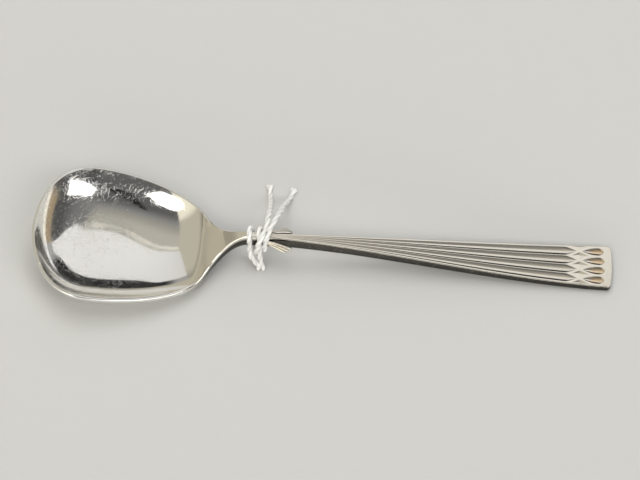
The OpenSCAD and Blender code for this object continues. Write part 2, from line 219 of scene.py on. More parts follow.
class JamSpoon(bpy.types.PropertyGroup):
    """All settings of the spoon"""
    bowl: bpy.props.PointerProperty(type=JamSpoonBowl)
    handle: bpy.props.PointerProperty(type=JamSpoonHandle)
    leaf: bpy.props.PointerProperty(type=JamSpoonLeaf)
    tie: bpy.props.PointerProperty(type=JamSpoonTie)
    finish: bpy.props.PointerProperty(type=JamSpoonFinish)
    stage: bpy.props.PointerProperty(type=JamSpoonStage)


# Curves and the spoon's lines

def ease(x, start, end):
    """A smooth step from 0 at start to 1 at end: three t squared less two t cubed."""
    t = np.clip((x - start) / (end - start), 0, 1)
    return t * t * (3 - 2 * t)


def mix(a, b, t):
    """The value t of the way from a to b."""
    return a + (b - a) * t


def cubic(points, t):
    """Points of a cubic curve with two ends and two pulls, for an array of t from 0 to 1."""
    t = np.asarray(t, float)
    r = 1 - t
    weights = np.stack([r ** 3, 3 * r * r * t, 3 * r * t * t, t ** 3], axis=-1)
    return weights @ np.asarray(points, float)


def bunched(count, start=0):
    """Numbers from start to 1 that lie closer together towards 1: sines of even steps."""
    return np.sin(math.pi / 2 * np.linspace(start, 1, count))


def unit(vectors):
    """The vectors, each at a length of 1."""
    return vectors / np.maximum(np.linalg.norm(vectors, axis=-1, keepdims=True), TINY)


def inward(points):
    """Unit vectors square to a plane line of points, on its right as the line runs."""
    along = unit(np.gradient(points, axis=0))
    return np.stack([along[:, 1], -along[:, 0]], axis=-1)


def fall_away(past, radius):
    """How far a rounded corner has fallen at a distance past its start: its radius less a quarter circle."""
    return radius - np.sqrt(np.maximum(radius ** 2 - np.clip(past, 0, None) ** 2, 0))


class SpoonLine:
    """Places, widths and heights along the spoon, as functions of the distance s from the tip.

    The outline is three cubic curves. Their pulls are shares of the stretches that they lie on.
    """
    tip_pulls = 0.3, 0.19
    side_pull = 0.3
    blend_pulls = 0.3, 0.4
    rise_before_root, metal_before_root = 3 * MM, 9 * MM
    fall_past_root, level_past_end = 3 * MM, 4 * MM
    least_half = 0.01 * MM

    def __init__(self, spoon):
        self.bowl = spoon.bowl
        self.handle = spoon.handle
        bowl, handle = spoon.bowl, spoon.handle
        self.tip_x = CAD_BOX[0].x
        self.length = CAD_BOX[1].x - CAD_BOX[0].x
        self.rise_s = bowl.length - self.rise_before_root
        self.neck_s = bowl.length + bowl.neck_blend
        self.joint_s = self.neck_s + bowl.neck_length
        self.hollow_s = self.length - handle.end_band - handle.arch_end
        self.fork_s = self.hollow_s - handle.arcade
        half, root, neck = bowl.width / 2, bowl.root_width / 2, bowl.neck_width / 2
        front, length, pull = bowl.front, bowl.length, bowl.shoulder_pull
        across, along = self.tip_pulls
        self.tip_curve = [(0, 0), (0, across * half), (along * front, half), (front, half)]
        self.side_curve = [
            (front, half), (mix(front, length, self.side_pull), half),
            (length - pull, root + bowl.root_slope * pull), (length, root)]
        leave, arrive = (k * bowl.neck_blend for k in self.blend_pulls)
        self.blend_curve = [
            (length, root), (length + leave, root - bowl.root_slope * leave),
            (self.neck_s - arrive, neck), (self.neck_s, neck)]
        t = np.linspace(0, 1, 400)
        curves = [cubic(c, t) for c in (self.tip_curve, self.side_curve, self.blend_curve)]
        self.outline = np.concatenate([*curves, [(self.joint_s, neck)]])
        keel = np.linspace(0, self.rise_s, 400)
        self.rim_z = 0
        self.rim_z = -np.min(self.underside(keel, 0 * keel, self.outline))

    def top(self, s):
        """Height of the rim, the neck's top and the handle's top face: three smooth steps."""
        bowl = self.bowl
        fall_s, level_s = bowl.length + self.fall_past_root, self.length + self.level_past_end
        neck_rise = bowl.neck_height - self.rim_z + bowl.rim_fall
        handle_fall = (bowl.neck_height - self.handle.end_height) / ease(self.length, fall_s, level_s)
        edge = self.rim_z - bowl.rim_fall * ease(s, 0, self.neck_s)
        return edge + neck_rise * ease(s, self.rise_s, self.neck_s) - handle_fall * ease(s, fall_s, level_s)

    def inset(self, s, y, outline):
        """Share of the full depth: one less the place across squared, times the relative width squared."""
        half = np.maximum(np.interp(s, outline[:, 0], outline[:, 1]), self.least_half)
        across = np.minimum(np.abs(y) / half, 1)
        return (1 - across ** 2) * (half / outline[:, 1].max()) ** 2

    def inside(self, s, y, outline):
        """Height of the hollow: the rim less the depth times a rounded share of the inset."""
        share_in = 1 - (1 - self.inset(s, y, outline)) ** self.bowl.hollow_power
        return self.top(s) - self.bowl.depth * share_in

    def underside(self, s, y, outline):
        """Height of the bowl's underside: the hollow less the thickness of the metal."""
        bowl = self.bowl
        thin = mix(bowl.rim, bowl.wall, self.inset(s, y, outline))
        metal = mix(thin, bowl.neck_thickness, ease(s, bowl.length - self.metal_before_root, self.neck_s))
        return self.inside(s, y, outline) - metal

    def stem(self, s):
        """Half width and thickness of the handle: cubic curves from joint to end, with a wider collar."""
        handle, bowl = self.handle, self.bowl
        u = (s - self.joint_s) / (self.length - self.joint_s)
        widths = [handle.waist, handle.stem_width, handle.grip_width, handle.end_width]
        depths = [bowl.neck_thickness, handle.stem_thickness, handle.grip_thickness, handle.grip_thickness]
        collar = ease(s, self.joint_s, self.joint_s + handle.collar)
        return mix(bowl.neck_width, cubic(widths, u), collar) / 2, cubic(depths, u)


# Meshes

def grid_quads(rows, columns, closed=False):
    """Corner numbers of a grid's quads. A closed grid joins its last column to its first."""
    i, j = np.meshgrid(np.arange(rows - 1), np.arange(columns - (not closed)), indexing="ij")
    left = i * columns + j
    right = i * columns + (j + 1) % columns
    return np.stack([left, right, right + columns, left + columns], axis=-1).reshape(-1, 4)


def put(name, data):
    """A new object in the scene."""
    made = bpy.data.objects.new(name, data)
    bpy.context.scene.collection.objects.link(made)
    return made


def add_piece(mesh, material, node=None, sharp=180):
    """A piece of the spoon, smooth up to an angle in degrees. It replaces a node if one is given."""
    mesh.polygons.foreach_set("use_smooth", np.ones(len(mesh.polygons), bool))
    mesh.set_sharp_from_angle(angle=math.radians(sharp))
    mesh.materials.append(material)
    piece = put(mesh.name, mesh)
    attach(piece, "root")
    if node:
        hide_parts(node)
    return piece


def make_piece(name, grids, material, node, caps=(), values=None, sharp=50):
    """One closed mesh from grids of points, each given with whether its columns close into rings.

    Caps are rows of the first grid that a face closes. Values are arrays with a number for each point, kept
    as attributes. Points that coincide are welded, and the faces are turned outwards.
    """
    points = np.concatenate([g.reshape(-1, 3) for g, _ in grids])
    faces, first = [], 0
    for grid, closed in grids:
        faces += (grid_quads(*grid.shape[:2], closed) + first).tolist()
        first += grid[..., 0].size
    rows, columns = grids[0][0].shape[:2]
    numbered = np.arange(rows * columns).reshape(rows, columns)
    mesh = bpy.data.meshes.new(name)
    mesh.from_pydata(points.tolist(), [], faces + [numbered[row].tolist() for row in caps])
    for key, numbers in (values or {}).items():
        flat = np.asarray(numbers, np.float32).ravel()
        mesh.attributes.new(key, "FLOAT", "POINT").data.foreach_set("value", flat)
    solid = bmesh.new()
    solid.from_mesh(mesh)
    bmesh.ops.remove_doubles(solid, verts=solid.verts, dist=WELD)
    bmesh.ops.recalc_face_normals(solid, faces=solid.faces)
    loose = sum(not edge.is_manifold for edge in solid.edges)
    solid.to_mesh(mesh)
    solid.free()
    if loose:
        raise RuntimeError(f"{name} has {loose} edges that aren't closed")
    return add_piece(mesh, material, node, sharp)


# Node trees

class Shade:
    """A value in a node tree. Arithmetic on it adds Math nodes, and node() adds any other node."""

    def __init__(self, tree, socket=None):
        self.tree = tree
        self.socket = socket

    def node(self, kind, settings=None, inputs=None, output=0):
        """Adds a node, sets its settings, then sets or links its sockets, and returns one of its outputs."""
        made = self.tree.nodes.new(kind)
        for key, value in (settings or {}).items():
            setattr(made, key, value)
        for key, value in (inputs or {}).items():
            if isinstance(value, Shade):
                self.tree.links.new(value.socket, made.inputs[key])
            else:
                made.inputs[key].default_value = value
        return Shade(self.tree, made.outputs[output] if len(made.outputs) else None)

    def math(self, operation, *values):
        return self.node("ShaderNodeMath", {"operation": operation}, dict(enumerate(values)))

    def __add__(self, other):
        return self.math("ADD", self, other)

    __radd__ = __add__

    def __sub__(self, other):
        return self.math("SUBTRACT", self, other)

    def __rsub__(self, other):
        return self.math("SUBTRACT", other, self)

    def __mul__(self, other):
        return self.math("MULTIPLY", self, other)

    __rmul__ = __mul__

    def __abs__(self):
        return self.math("ABSOLUTE", self)

    def rise(self, low, high):
        """A smooth step from 0 at low to 1 at high."""
        limits = {"Value": self, "From Min": low, "From Max": high}
        return self.node("ShaderNodeMapRange", {"interpolation_type": "SMOOTHSTEP"}, limits)

    def tint(self, before, after):
        """The colour before where this value is 0, and after where it is 1."""
        return self.node("ShaderNodeMix", {"data_type": "RGBA"}, {0: self, 6: before, 7: after}, 2)

    def noise(self, place, feature, detail=2.0, distortion=0.0):
        """Soft noise about 0.5, with features of about that size in the units of place."""
        wave = {"Vector": place, "Scale": 1 / feature, "Detail": detail, "Distortion": distortion}
        return self.node("ShaderNodeTexNoise", {}, wave)

    def millimetres(self):
        """The piece's own coordinates, in millimetres."""
        place = self.node("ShaderNodeTexCoord", output="Object")
        return self.node("ShaderNodeVectorMath", {"operation": "SCALE"}, {0: place, "Scale": 1 / MM})

    def attribute(self, name):
        """A number that the mesh keeps at each point."""
        return self.node("ShaderNodeAttribute", {"attribute_name": name}, output="Fac")

    def bump(self, height, depth):
        """Normals of a surface raised by height times depth, a length."""
        return self.node("ShaderNodeBump", {}, {"Height": height, "Distance": depth, "Strength": 1})

    def finish(self, inputs):
        """The surface's shader with these sockets, joined to the material's output."""
        shader = self.node("ShaderNodeBsdfPrincipled", {}, inputs)
        self.node("ShaderNodeOutputMaterial", {}, {"Surface": shader})


def new_material(name):
    """An empty material and the start of its node tree."""
    material = bpy.data.materials.new(name)
    material.use_nodes = True
    material.node_tree.nodes.clear()
    return material, Shade(material.node_tree)


# Directions of the hairline scratches in radians, with their lengths and spacings in millimetres
HAIRLINES = ((0.2, 14, 0.9), (0.8, 12, 0.8), (1.3, 15, 1), (1.9, 11, 0.8), (2.4, 14, 0.9), (2.9, 10, 0.7))

# Places along the spoon in millimetres between which the bowl's wear fades and its cream tone comes in
WORN, CREAM = (-60, -36), (-42, -24)


def hairlines(shade, place, turn, length, spacing):
    """Fine scratches: where a noise stretched along one direction crosses its middle, in patches only."""
    stretch = {"Vector": place, "Rotation": (0, 0, turn), "Location": (7 * turn, 3, 0),
               "Scale": (length, spacing, spacing)}
    turned = shade.node("ShaderNodeMapping", {"vector_type": "TEXTURE"}, stretch)
    line = 1 - abs(shade.noise(turned, 1, 0, 0.1) - 0.5).rise(0.002, 0.018)
    patch = shade.noise(turned, 0.7, 1).rise(0.45, 0.58)
    return line * patch


def polished_silver(finish):
    """Mirror silver with a faint haze and hairline scratches, creamier, and dull in painted shade below at
    the neck.
    """
    material, shade = new_material("polished_silver")
    place = shade.millimetres()
    x = shade.node("ShaderNodeSeparateXYZ", {}, {0: place}, "X")
    first, *others = (hairlines(shade, place, *lie) for lie in HAIRLINES)
    worn = 1 - x.rise(*WORN)
    haze = shade.noise(place, 6)
    scratch = sum(others, first) * (0.25 + 0.75 * worn)
    grain = shade.noise(place, 0.17, 1)
    cream = (x.rise(*CREAM) * 0.7).tint(tuple(finish.polished), tuple(finish.warm))
    # Painted shade: near the neck the underside and sides are darkened towards near-black and made rougher
    shade_and_tarnish = shade.attribute("shade_and_tarnish")
    shade.finish({
        "Base Color": (shade_and_tarnish * 0.97).tint(cream, tuple(finish.tarnish_and_shade_colour)),
        "Metallic": 1.0,
        "Roughness": 0.04 + 0.03 * haze + 0.2 * scratch + 0.1 * shade_and_tarnish,
        "Normal": shade.bump(0.3 * scratch + (0.06 + 0.13 * worn) * grain, 0.01 * MM),
    })
    return material


def handled_silver(finish, name, nicked, dull):
    """Warm silver, nearly black along the walls from painted shade, with nicks of a relative depth and a
    least roughness.
    """
    material, shade = new_material(name)
    place = shade.millimetres()
    recess = shade.attribute("recess")
    wall = shade.attribute("wall")
    blush = shade.attribute("blush")
    stain = shade.noise(place, 3, 3)
    nicks = shade.noise(place, 0.35, 2).rise(0.55, 0.75)
    # A little tarnish in the recesses, and painted shade along the walls that makes them nearly black
    shade_and_tarnish = recess * 0.1 * stain + wall * (1.02 + 0.06 * stain) * (1 - 0.22 * nicks)
    clean = shade_and_tarnish.tint(tuple(finish.warm), tuple(finish.tarnish_and_shade_colour))
    relief = shade.noise(place, 1.2, 2) * 0.4 + nicks * (0.12 + 1.6 * wall)
    shade.finish({
        "Base Color": (blush * (0.5 + 0.8 * stain)).tint(clean, tuple(finish.blush)),
        "Metallic": 1.0,
        "Roughness": dull + 0.06 * stain + 0.1 * recess + 0.16 * wall,
        "Normal": shade.bump(nicked * relief, 0.012 * MM),
    })
    return material


def darker(tint, level):
    """A colour with its red, green and blue times a level."""
    return tuple(level * c for c in tint[:3]) + (1,)


def cotton_yarn(finish):
    """Soft matt cotton: fine streaks along the yarn, and some shade in the groove between the two yarns."""
    material, shade = new_material("cotton_yarn")
    around = shade.node("ShaderNodeUVMap", {"uv_map": "yarn"})
    streak = shade.node("ShaderNodeMapping", {"vector_type": "TEXTURE"},
                        {"Vector": around, "Scale": (0.02, 0.9, 1)})
    fibre = shade.noise(streak, 1, 3, 0.6)
    # Painted shade in the groove between the two yarns, and darker fibre streaks
    groove_shade_and_streaks = shade.attribute("groove") * 0.6 + (1 - fibre) * 0.2
    cotton = tuple(finish.cotton)
    shade.finish({
        "Base Color": groove_shade_and_streaks.tint(cotton, darker(cotton, 0.6)),
        "Roughness": 0.92,
        "Sheen Weight": 0.25,
        "Normal": shade.bump(fibre, 0.05 * MM),
    })
    return material


def stray_cotton(finish):
    """Loose cotton fibres: pale and matt."""
    material, shade = new_material("stray_cotton")
    cotton = tuple(finish.cotton)
    spots = shade.noise(shade.millimetres(), 0.4)
    shade.finish({"Base Color": spots.tint(cotton, darker(cotton, 0.8)), "Roughness": 0.95})
    return material


# Stage

def direction(azimuth, elevation):
    """Unit vector at an angle round from +X and an angle above the floor, in degrees."""
    a, e = math.radians(azimuth), math.radians(elevation)
    return Vector((math.cos(a) * math.cos(e), math.sin(a) * math.cos(e), math.sin(e)))


def soft_light(name, towards, away, side, brightness):
    """A square lamp that faces the spoon and isn't mirrored in it. Its power is brightness, pi and area."""
    lamp = bpy.data.lights.new(name, "AREA")
    lamp.size = side
    lamp.energy = brightness * math.pi * side * side
    holder = put(name, lamp)
    holder.location = towards * away
    holder.rotation_euler = towards.to_track_quat("Z", "Y").to_euler()
    holder.visible_glossy = False


# Corners of the sheets that the silver mirrors, as azimuths and elevations: a white card behind the spoon
# with a bright trim above it, two small lamps on the camera's side, a low lamp below them and a dark bar
CARD = ((36, -10), (37.5, 45), (38.5, 53), (43, 59), (51, 66), (108, 70), (111, -10))
TRIM = ((53.4, 67.5), (62.9, 61.3), (109, 60), (109, 70))
LAMPS = (((-35, 24), (-57, 42), (-66, 53), (-45, 62), (-19, 36)),
         ((-95, 48), (-104, 39), (-120, 41), (-127, 48), (-124, 57), (-116, 62), (-102, 60)))
LOW_LAMP = ((-150, 3), (-40, 3), (-45, 14), (-145, 14))
BAR = ((-85, 50), (-76, 50), (-73, 76), (-81, 76))


def studio_world(stage):
    """What the silver mirrors: a white card behind, grey on the left and above, dark on the camera's side.

    Each part has a brightness that goes with the height of the direction, and the parts blend by azimuth.
    A sheet covers the directions on the inner side of all its straight edges.
    """
    world = bpy.data.worlds.new("studio")
    world.use_nodes = True
    world.node_tree.nodes.clear()
    shade = Shade(world.node_tree)
    look = shade.node("ShaderNodeTexCoord", output="Generated")
    height = shade.node("ShaderNodeSeparateXYZ", {}, {0: look}, "Z")
    flat = shade.node("ShaderNodeVectorMath", {"operation": "MULTIPLY"}, {0: look, 1: (1, 1, 0)})
    flat = shade.node("ShaderNodeVectorMath", {"operation": "NORMALIZE"}, {0: flat})

    def along(place, aim):
        pair = {0: place, 1: tuple(aim)}
        return shade.node("ShaderNodeVectorMath", {"operation": "DOT_PRODUCT"}, pair, "Value")

    def facing(azimuth):
        return along(flat, direction(azimuth, 0))

    def sheet(corners, soft):
        aims = [direction(*corner) for corner in corners]
        cover = 1
        for first, second in zip(aims, aims[1:] + aims[:1]):
            inner = first.cross(second).normalized()
            inner = inner if inner.dot(sum(aims, Vector())) > 0 else -inner
            cover = cover * along(look, inner).rise(-soft, soft)
        return cover

    # The grey on the left, the dark that climbs in front of the handle, and what lies overhead
    rise_to = shade.math("MAXIMUM", height, 0.05)
    forward = shade.math("DIVIDE", along(look, (1, 0, 0)), rise_to)
    backward = shade.math("DIVIDE", along(look, (0, 1, 0)), rise_to)
    leftward = along(look, (-1, 0.2, -0.23)).rise(-0.012, 0.012)
    left = mix(0.33, 0.5, height.rise(0.2, 0.55)) + 0.4 * facing(-126).rise(0.92, 1)
    climb = shade.math("MINIMUM", shade.math("MAXIMUM", (height - 0.66) * (1 / 0.29), 0), 1)
    climb = mix(0.09 + 0.12 * climb, 0.07, facing(-82).rise(0.9, 0.985))
    overhead = 0.11 + 0.22 * backward.rise(-0.35, 0.08) + 0.14 * backward.rise(0, 0.28)
    front = mix(overhead, climb, forward.rise(0.2, 0.34))

    # A brown patch low beyond the handle's end, with a white strip at its foot
    brown = facing(20).rise(0.8, 0.93) * (1 - height.rise(0.28, 0.36))
    strip = facing(26).rise(0.8, 0.87) * (1 - height.rise(0.075, 0.105))
    front = mix(front, 0.36, brown)
    glow = mix(front, left, leftward)

    # The trim and the card, whose level upper edges bend at one azimuth, and the dark below the card
    shelf = height + 0.01 * facing(72).rise(0.96, 1)
    trim = sheet(TRIM, 0.006) * shelf.rise(0.889, 0.894) * (1 - shelf.rise(0.912, 0.918))
    glow = mix(glow, 0.74, trim)
    foot = height - mix(0.32, 0.5, facing(70).rise(0.9, 0.98))
    below = mix(0.5, mix(0.36, 0.03, facing(76).rise(0.88, 0.93)), height.rise(0.02, 0.07))
    panel = 0.57 + 0.27 * facing(40)
    card = sheet(CARD, 0.005) * (1 - shelf.rise(0.877, 0.884))
    glow = mix(glow, mix(below, panel, foot.rise(-0.01, 0.01)), card)

    # The bar and the lamps, then the colours
    glow = mix(mix(glow, 1, strip), 0.012, sheet(BAR, 0.012))
    for corners in LAMPS:
        glow = glow + stage.lamp * sheet(corners, 0.012)
    glow = glow + 0.5 * stage.lamp * sheet(LOW_LAMP, 0.02)
    warm = (0.7 * front.rise(0.2, 0.36) + leftward) * (1 - card)
    cream = warm.tint((1, 0.995, 0.98, 1), (1, 0.95, 0.8, 1))
    bronze = (brown * (1 - strip) * (1 - card)).tint(cream, (1, 0.78, 0.5, 1))
    light = shade.node("ShaderNodeBackground", {}, {"Color": bronze, "Strength": glow})
    shade.node("ShaderNodeOutputWorld", {}, {"Surface": light})
    bpy.context.scene.world = world


def studio_camera(stage):
    """A camera at an elevation and an azimuth round the target, looking at it."""
    e, a = stage.elevation, stage.azimuth
    back = Vector((math.sin(a) * math.cos(e), -math.cos(a) * math.cos(e), math.sin(e)))
    lens = bpy.data.cameras.new("camera")
    lens.lens = stage.lens
    lens.clip_start = 10 * MM
    camera = put("camera", lens)
    camera.location = Vector(stage.target) + back * stage.distance
    camera.rotation_euler = back.to_track_quat("Z", "Y").to_euler()
    bpy.context.scene.camera = camera


class JAMSPOON_OT_stage(bpy.types.Operator):
    """Makes the camera, the lights and the floor"""
    bl_idname = "jam_spoon.stage"
    bl_label = "Stage"

    def execute(self, context):
        spoon = context.scene.jam_spoon
        studio_camera(spoon.stage)
        studio_world(spoon.stage)
        soft_light("key", direction(90, 84), away=1.5, side=1, brightness=spoon.stage.key)
        context.scene.view_settings.view_transform = "Standard"
        material, shade = new_material("pale_floor")
        shade.finish({"Base Color": tuple(spoon.finish.floor), "Roughness": 0.9, "Specular IOR Level": 0.2})
        mesh = bpy.data.meshes.new("floor")
        reach, under = 3.0, -0.02 * MM
        corners = [(x * reach, y * reach, under) for x, y in ((-1, -1), (1, -1), (1, 1), (-1, 1))]
        mesh.from_pydata(corners, [], [(0, 1, 2, 3)])
        mesh.materials.append(material)
        floor = put("floor", mesh)
        return {"FINISHED"}


# String

# The wrap's first and last angles in degrees, the number of its points and how squared-up its ring is
WRAP_FROM, WRAP_TO, WRAP_POINTS, WRAP_SQUARE = 60, 540, 33, 1.4

# Distance between a string's rings, their number of points, and how high above the floor they stay
RING_STEP, RING_SIDES, RING_LOW = 0.15 * MM, 28, 0.03 * MM

# The rings that close a cut end: how far each is drawn in, as a share, and how far out it stands
CUT_END = ((0.18, 0.06 * MM), (0.55, 0.1 * MM), (0.9, 0.12 * MM))

# Places along a string from its cut ends: the end of the long tail's flare, the tightest place behind it and
# the end of that, and the end of the short tail's flare
FLARE_END, PINCH, PINCH_END, DROP_END = 2 * MM, 1.8 * MM, 4.5 * MM, 1.5 * MM

# Points of the two strands in millimetres from the joint: the long tail from its cut end, then, after the
# wrap round the neck, the short tail. The wrap's slides along the neck and lifts off it are smooth steps,
# each with its amount and the angles where it starts and ends.
STRANDS = {
    "left": {
        "tail": [(0.92, 21.17, 0.6), (1.2, 18.38, 0.9), (1.52, 15.18, 2.89), (1.74, 11.52, 6.52),
                 (1.71, 7.83, 9.8), (1.49, 4.43, 12.06)],
        "start": 1.21,
        "slide": [(-2.62, 40, 240), (-1.45, 275, 430), (0.1, 450, 540)],
        "lift": [(1.05, 55, 112), (-0.35, 180, 225), (-0.7, 215, 290)],
        "drop": [(-2.75, -2.18, 7.86), (-2.53, -2.73, 6.16), (-1.72, -2.95, 4.09), (-1, -3, 2.39),
                 (-0.52, -3.05, 0.6)],
    },
    "right": {
        "tail": [(7.21, 20.25, 0.6), (6.59, 18.05, 0.9), (5.72, 15.23, 2.89), (4.99, 11.76, 6.52),
                 (4.36, 8.06, 9.8), (3.29, 4.44, 11.87)],
        "start": 2.25,
        "slide": [(-1.28, 40, 190), (-1.4, 270, 420), (0.05, 450, 540)],
        "lift": [(0, 80, 160)],
        "drop": [(-0.38, -1.82, 7.95), (-0.35, -2.18, 6.26), (-0.17, -2.62, 4.28), (0.08, -2.88, 2.39),
                 (0.46, -3.04, 0.6)],
    },
}


def wrap(line, tie, strand):
    """Points of a strand round the neck: an angle that goes over the top and under, on a squared-up ring."""
    turn = np.linspace(WRAP_FROM, WRAP_TO, WRAP_POINTS)
    slide, lift = (sum(amount * ease(turn, first, last) for amount, first, last in strand[key])
                   for key in ("slide", "lift"))
    x = (strand["start"] + slide) * MM
    off = tie.diameter / 2 + tie.gap + lift * MM
    cos, sin = np.cos(np.radians(turn)), np.sin(np.radians(turn))
    square_cos, square_sin = (np.sin(math.pi / 2 * np.clip(WRAP_SQUARE * k, -1, 1)) for k in (cos, sin))
    half_w, half_t = line.bowl.neck_width / 2, line.bowl.neck_thickness / 2
    y = half_w * square_cos + off * cos
    z = line.top(line.joint_s + x) - half_t + half_t * square_sin + off * sin
    return np.stack([x, y, z], axis=-1)


def smooth_route(points, steps=24):
    """A curve through all points: on each stretch a cubic whose ends head along the neighbouring points."""
    ends = [2 * points[:1] - points[1:2], points, 2 * points[-1:] - points[-2:-1]]
    p = np.concatenate(ends)
    a, b, c, d = p[:-3, None], p[1:-2, None], p[2:-1, None], p[3:, None]
    t = np.linspace(0, 1, steps, endpoint=False)[None, :, None]
    curve = (b + t * (c - a) / 2 + t * t * (2 * a - 5 * b + 4 * c - d) / 2
             + t ** 3 * (3 * b - a - 3 * c + d) / 2)
    return np.concatenate([curve.reshape(-1, 3), points[-1:]])


def even_steps(route, step):
    """The route's points at even distances along it, and those distances."""
    lengths = np.linalg.norm(np.diff(route, axis=0), axis=1)
    walked = np.concatenate([[0], np.cumsum(lengths)])
    places = np.linspace(0, walked[-1], int(round(walked[-1] / step)) + 1)
    return np.stack([np.interp(places, walked, route[:, k]) for k in range(3)], axis=-1), places


def route_frames(route):
    """Unit vectors along a route, across it as near to the X axis as can be, and square to both."""
    heading = unit(np.gradient(route, axis=0))
    side = unit(np.array([1.0, 0, 0]) - heading * heading[:, :1])
    return heading, side, np.cross(heading, side)


def make_strand(hand, line, tie, material):
    """A two-ply string along its route: two round yarns side by side, turning as they run, with opened ends.

    The radius at an angle is the outline of two overlapping circles, and the cut ends flare and close flat.
    """
    strand = STRANDS[hand]
    tail, drop = (np.array(strand[key]) * MM for key in ("tail", "drop"))
    route = smooth_route(np.concatenate([tail, wrap(line, tie, strand), drop]))
    route += np.array([line.tip_x + line.joint_s, 0, 0])
    path, walked = even_steps(route, RING_STEP)
    heading, side, across = route_frames(path)
    spin = np.linspace(0, 2 * math.pi, RING_SIDES, endpoint=False)
    ply = tie.apart * np.abs(np.cos(spin)) + np.sqrt(tie.ply ** 2 - (tie.apart * np.sin(spin)) ** 2)
    turn = 2 * math.pi * walked / tie.twist
    pinched = ease(walked, 0, PINCH) * (1 - ease(walked, PINCH, PINCH_END))
    open_out = (1 - 0.12 * pinched + tie.flare * (1 - ease(walked, 0, FLARE_END))
                + 0.2 * (1 - ease(walked[-1] - walked, 0, DROP_END)))
    wander = 1 + 0.05 * np.sin(walked / (0.9 * MM)) * np.sin(walked / (2.3 * MM) + 1)
    angle_at = spin[None, :] + turn[:, None]
    radius = ply[None, :] * (open_out * wander)[:, None]
    ring = np.cos(angle_at)[..., None] * side[:, None] + np.sin(angle_at)[..., None] * across[:, None]
    tube = path[:, None] + radius[..., None] * ring
    starts = [mix(tube[0], path[0], k) - heading[0] * out for k, out in reversed(CUT_END)]
    ends = [mix(tube[-1], path[-1], k) + heading[-1] * out for k, out in CUT_END]
    tube = np.concatenate([np.stack(starts), tube, np.stack(ends)])
    tube[..., 2] = np.maximum(tube[..., 2], RING_LOW)
    rows = len(tube)
    groove = 1 - (ply - ply.min()) / (ply.max() - ply.min())
    groove = np.repeat(groove[None], rows, axis=0) ** 2
    piece = make_piece(f"string_{hand}", [(tube, True)], material, f"tie_strand_{hand}",
                       (0, -1), {"groove": groove}, sharp=180)
    paint_yarn(piece, rows, RING_SIDES, walked[-1])
    return piece, path, walked, (heading, side, across)


def paint_yarn(piece, rows, sides, length):
    """A UV map with the turn round the string across and millimetres along it upwards."""
    quads = (rows - 1) * sides
    i, j = np.divmod(np.arange(quads), sides)
    u = np.stack([j, j + 1, j + 1, j], axis=-1) / sides
    v = np.stack([i, i, i + 1, i + 1], axis=-1) / (rows - 1) * length / MM
    uv = np.zeros((len(piece.data.loops), 2), np.float32)
    uv[:quads * 4] = np.stack([u, v], axis=-1).reshape(-1, 2)
    piece.data.uv_layers.new(name="yarn").data.foreach_set("uv", uv.ravel())


def make_fuzz(hand, path, frames, tie, material, seed):
    """Stray fibres: thin three-sided hairs that leave the string at a slant, curl and end in a point.

    Three in ten of them stand on the cut end of the long tail.
    """
    draw = np.random.default_rng(seed)
    heading, side, across = frames
    count, joints, sides = tie.fibres, 6, 3
    last = len(path) - 1
    ends = int(0.3 * count)
    along = draw.integers(0, last, count - ends)
    place = np.concatenate([along, (0.01 * last * draw.random(ends)).astype(int)])
    spin = draw.uniform(0, 2 * math.pi, (count, 1))
    out = np.cos(spin) * side[place] + np.sin(spin) * across[place]
    lean = heading[place] * draw.uniform(-1.4, 1.4, (count, 1))
    lean[count - ends:] = heading[0] * draw.uniform(-3, -0.5, (ends, 1))
    reach = draw.uniform(0.2, 0.75, (count, 1, 1)) * MM
    curl = np.cross(out, heading[place]) * draw.uniform(-0.8, 0.8, (count, 1))
    t = np.linspace(0, 1, joints)[None, :, None]
    root = path[place] + out * 0.36 * tie.diameter
    aim = unit(out + lean)
    hair = root[:, None] + reach * (t * aim[:, None] + t * t * curl[:, None])
    hair[..., 2] = np.maximum(hair[..., 2], 0.04 * MM)
    thick = np.linspace(0.018, 0.006, joints)[None, :, None, None] * MM
    corner = 2 * math.pi * np.arange(sides) / sides
    up = unit(np.cross(aim, heading[place]))
    over = np.cross(aim, up)
    ring = np.cos(corner)[None, :, None] * up[:, None] + np.sin(corner)[None, :, None] * over[:, None]
    points = hair[:, :, None] + thick * ring[:, None]
    first = (np.arange(count) * joints * sides)[:, None, None]
    faces = (grid_quads(joints, sides, True)[None] + first).reshape(-1, 4)
    lids = np.stack([np.arange(sides)[::-1], np.arange(sides) + (joints - 1) * sides])
    lids = (lids[None] + first).reshape(-1, sides)
    mesh = bpy.data.meshes.new(f"string_fuzz_{hand}")
    mesh.from_pydata(points.reshape(-1, 3).tolist(), [], faces.tolist() + lids.tolist())
    return add_piece(mesh, material)


class JAMSPOON_OT_tie(bpy.types.Operator):
    """Makes the two strands of string and their stray fibres"""
    bl_idname = "jam_spoon.tie"
    bl_label = "String tie"

    def execute(self, context):
        spoon = context.scene.jam_spoon
        line = SpoonLine(spoon)
        yarn, stray = cotton_yarn(spoon.finish), stray_cotton(spoon.finish)
        for seed, hand in enumerate(STRANDS):
            piece, path, walked, frames = make_strand(hand, line, spoon.tie, yarn)
            fuzz = make_fuzz(hand, path, frames, spoon.tie, stray, seed)
        return {"FINISHED"}


# Bowl

def bowl_grid(line, tip, side, spread):
    """Places in plan of a bowl's grid: rows start and end on the outline, and the first follows the tip.

    The tip's bow fades out towards the root.
    """
    corner = side[0]
    fade = (1 - ease(side[:, 0], corner[0], line.bowl.length))[:, None]
    s = side[:, :1] - fade * (corner[0] - tip[:, 0])
    y = spread * side[:, 1:] + fade * (np.sign(spread) * tip[:, 1] - spread * corner[1])
    return s, y


